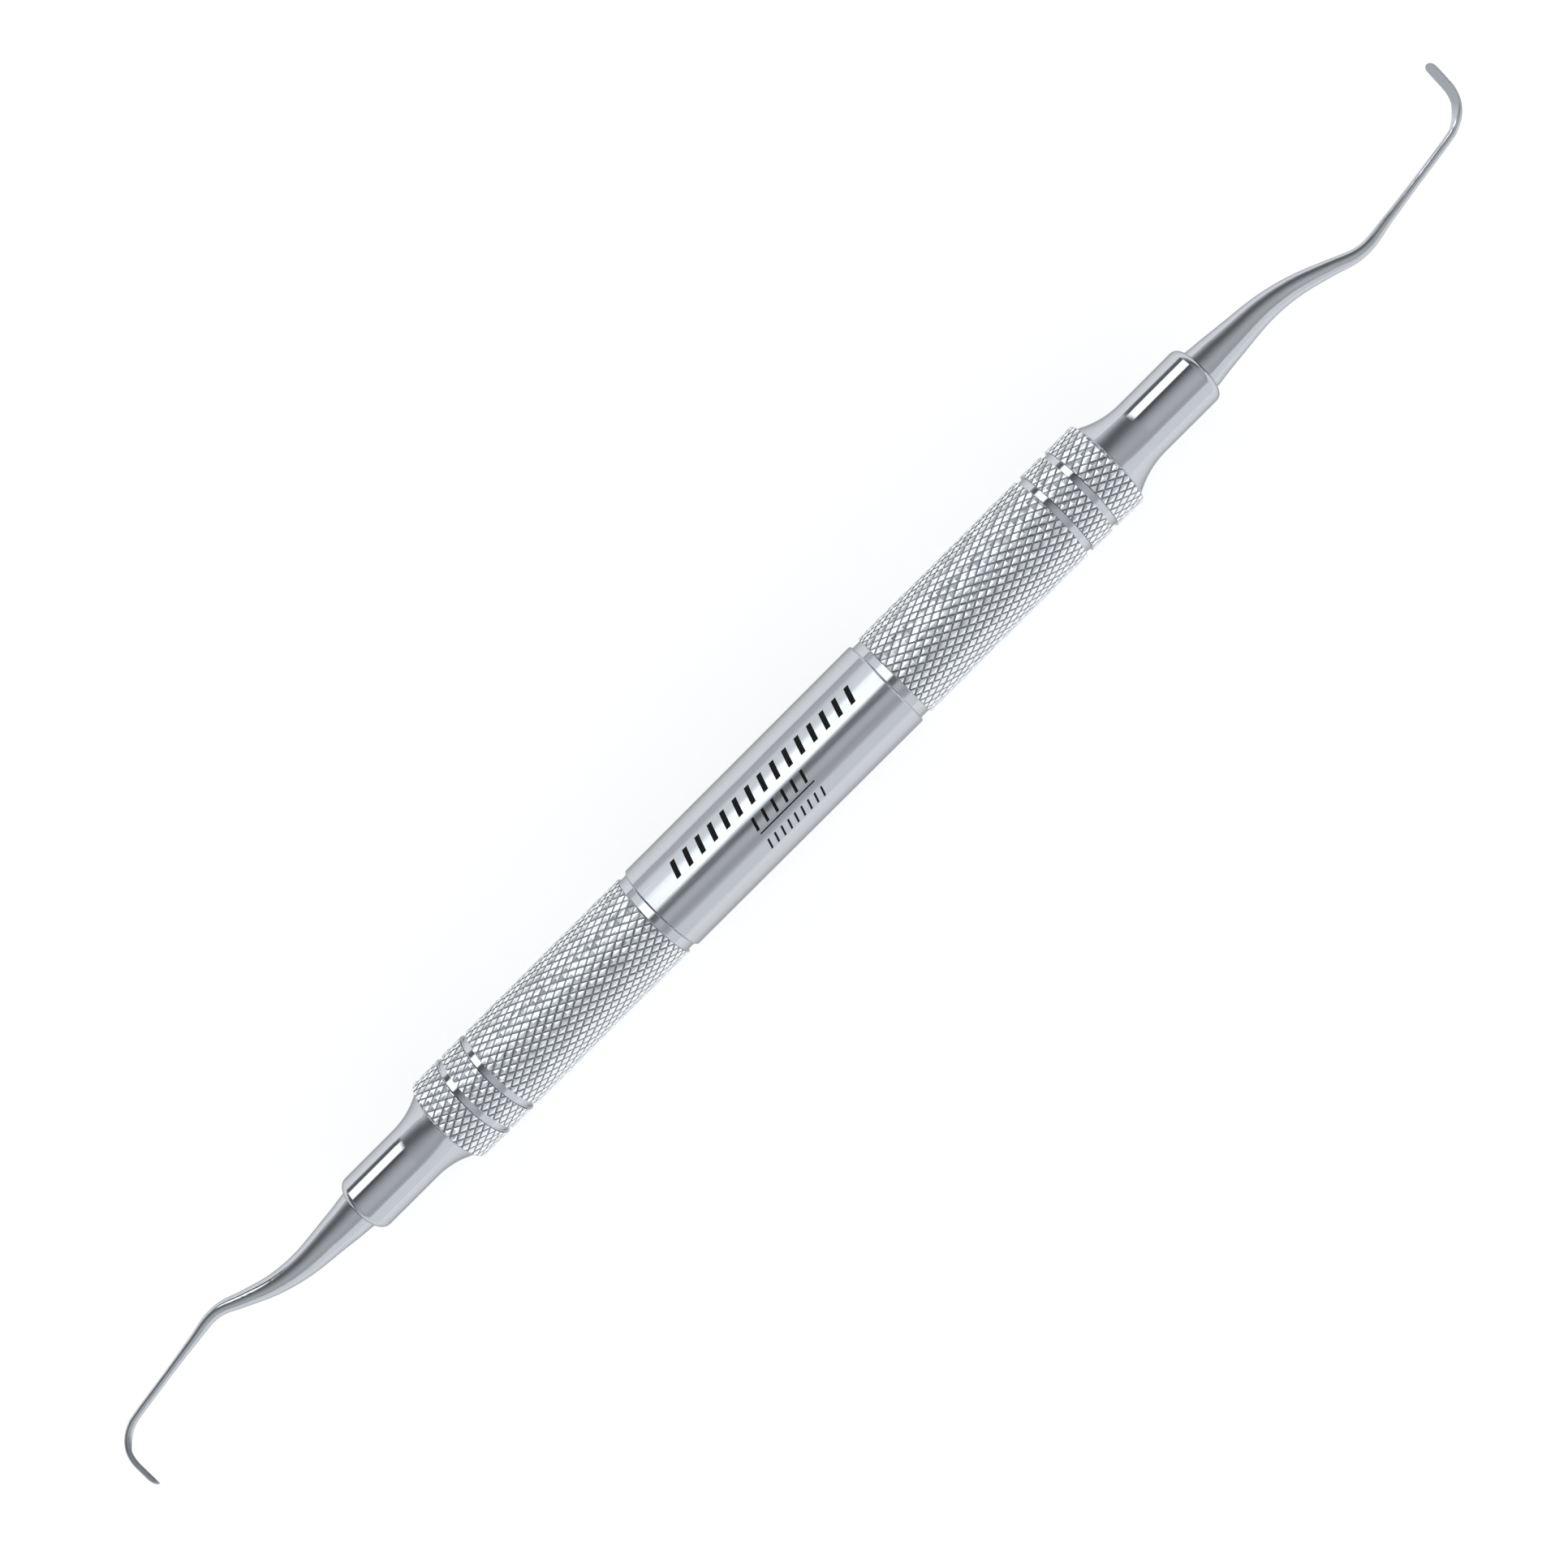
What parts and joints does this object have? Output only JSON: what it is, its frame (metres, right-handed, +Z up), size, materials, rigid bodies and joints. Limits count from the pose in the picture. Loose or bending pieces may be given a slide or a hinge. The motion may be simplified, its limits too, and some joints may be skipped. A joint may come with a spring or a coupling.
{
  "type": "hand scaler",
  "caption": "Double-ended dental curette: hollow knurled handle with a turned nose and a hooked, half-round blade at each end.",
  "frame": {"origin": "middle of the handle, on its axis", "axes": "+X along the handle to end A; +Z up as the scaler lies with both hooks level; +Y the side that the toe of end A points to"},
  "size_m": [0.175, 0.01, 0.0094],
  "materials": {
    "handle_steel": "satin",
    "nose_steel": "polished",
    "tip_steel": "polished"
  },
  "bodies": {
    "root": {"handle_tube": "handle_steel", "nose_a": "nose_steel", "nose_b": "nose_steel", "tip_a": "tip_steel", "tip_b": "tip_steel"}
  },
  "joints": []
}
